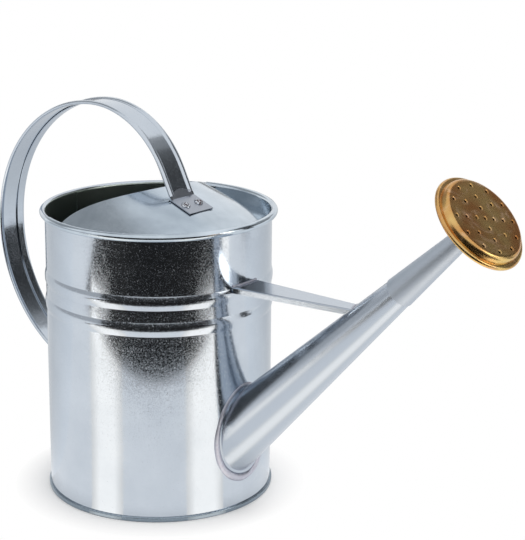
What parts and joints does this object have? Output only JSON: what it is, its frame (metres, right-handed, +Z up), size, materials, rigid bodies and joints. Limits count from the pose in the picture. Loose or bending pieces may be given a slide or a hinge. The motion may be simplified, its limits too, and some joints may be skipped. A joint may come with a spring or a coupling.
{
  "type": "watering can",
  "caption": "Round galvanised watering can with a half cover over the top, a hooped strap handle, a long braced spout and a brass rose that pulls off.",
  "frame": {"origin": "middle of the base, on the floor the can rests on", "axes": "+Z up along the can's axis, +X towards the spout, +Y to the left of someone who looks along the spout"},
  "size_m": [0.5526, 0.21, 0.3442],
  "materials": {
    "galvanised_steel": "hot-dip galvanised sheet, bright with a fine grain",
    "solder": "dull soft solder",
    "brass": "polished brass with light tarnish"
  },
  "bodies": {
    "can": {"body_shell": "galvanised_steel", "base_disc": "galvanised_steel", "rim_wire": "galvanised_steel", "cover": "galvanised_steel", "handle_strap": "galvanised_steel", "front_foot_rivets": "galvanised_steel", "rear_foot_solder": "solder", "spout_tube": "galvanised_steel", "spout_solder": "solder", "brace": "galvanised_steel", "brace_solder": "solder"},
    "rose_sleeve": {"rose_socket": "galvanised_steel"},
    "rose_head": {"rose_back": "brass", "rose_face": "brass"}
  },
  "joints": [
    {"name": "rose_pull", "type": "slide", "parent": "can", "child": "rose_sleeve", "axis": [0.7193, 0, 0.6947], "range_m": [0, 0.05]},
    {"name": "rose_turn", "type": "hinge", "parent": "rose_sleeve", "child": "rose_head", "pos_m": [0.1, 0, 0.0744], "axis": [0.7193, 0, 0.6947], "continuous": true}
  ]
}
